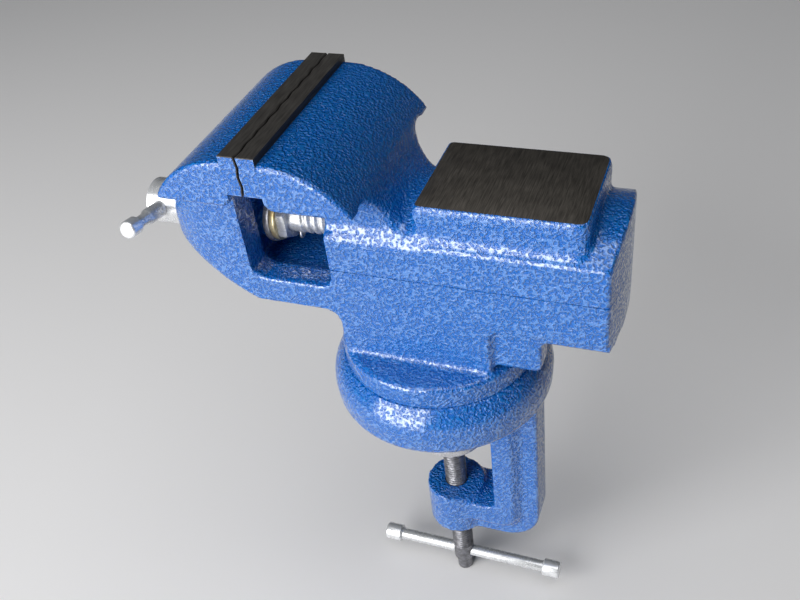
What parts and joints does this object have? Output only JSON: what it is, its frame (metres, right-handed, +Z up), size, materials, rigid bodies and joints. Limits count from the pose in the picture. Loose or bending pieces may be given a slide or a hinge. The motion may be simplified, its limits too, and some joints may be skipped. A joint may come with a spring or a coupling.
{
  "type": "bench vise",
  "caption": "Small swivel bench vise that clamps to a table edge, with serrated jaws, an anvil, and sliding tommy bars on its two screws.",
  "frame": {"origin": "centre of the base's underside, where it sits on the table, on the swivel axis", "axes": "+Z up along the swivel axis, +X from the jaws towards the anvil, -Y the pictured side"},
  "size_m": [0.1497, 0.0706, 0.2028],
  "materials": {
    "blue_enamel": "pebbled hammer enamel over cast iron",
    "dark_steel": "ground dark steel, top faces bare, ends painted blue",
    "bright_steel": "bright zinc plating",
    "brass": "plain turned brass"
  },
  "bodies": {
    "base": {"clamp_frame": "blue_enamel", "pivot_bolt": "bright_steel", "pivot_washer": "bright_steel", "pivot_nut": "bright_steel"},
    "turret": {"bed_casting": "blue_enamel", "front_jaw_plate": "dark_steel", "front_plate_screws": "bright_steel", "nose_washer": "bright_steel", "thrust_washer": "bright_steel"},
    "slider": {"sliding_jaw": "blue_enamel", "rear_jaw_plate": "dark_steel", "rear_plate_screws": "bright_steel", "lead_nut": "bright_steel", "keeper_plate": "bright_steel", "keeper_screws": "bright_steel"},
    "spindle": {"main_screw": "bright_steel", "brass_washer": "brass", "retaining_nut": "bright_steel", "split_pin": "bright_steel"},
    "main_bar": {"main_tommy_bar": "bright_steel", "main_bar_caps": "bright_steel"},
    "pad": {"pressure_pad": "bright_steel"},
    "clamp_spindle": {"clamp_screw": "bright_steel"},
    "clamp_bar": {"clamp_tommy_bar": "bright_steel", "clamp_bar_caps": "bright_steel"}
  },
  "joints": [
    {"name": "base_swivel", "type": "hinge", "parent": "base", "child": "turret", "pos_m": [0, 0, 0.0168], "axis": [0, 0, 1], "continuous": true},
    {"name": "screw_turn", "type": "hinge", "parent": "turret", "child": "spindle", "pos_m": [-0.0861, 0, 0.0582], "axis": [1, 0, 0], "range_deg": [-6049, 0]},
    {"name": "jaw_slide", "type": "slide", "parent": "turret", "child": "slider", "axis": [1, 0, 0], "range_m": [0, 0.042]},
    {"name": "main_bar_slide", "type": "slide", "parent": "spindle", "child": "main_bar", "axis": [0, -0.9781, 0.2079], "range_m": [-0.0124, 0.0188]},
    {"name": "pad_travel", "type": "slide", "parent": "base", "child": "pad", "axis": [0, 0, 1], "range_m": [-0.0191, 0.0206]},
    {"name": "clamp_screw_turn", "type": "hinge", "parent": "pad", "child": "clamp_spindle", "pos_m": [0, 0, -0.0952], "axis": [0, 0, 1], "range_deg": [-5502, 5934]},
    {"name": "clamp_bar_slide", "type": "slide", "parent": "clamp_spindle", "child": "clamp_bar", "axis": [1, 0, 0], "range_m": [-0.0276, 0.0216]}
  ],
  "couplings": [
    {"joint": "screw_turn", "follows": "jaw_slide", "rad_per_m": -2513.3},
    {"joint": "clamp_screw_turn", "follows": "pad_travel", "rad_per_m": 5026.5}
  ]
}
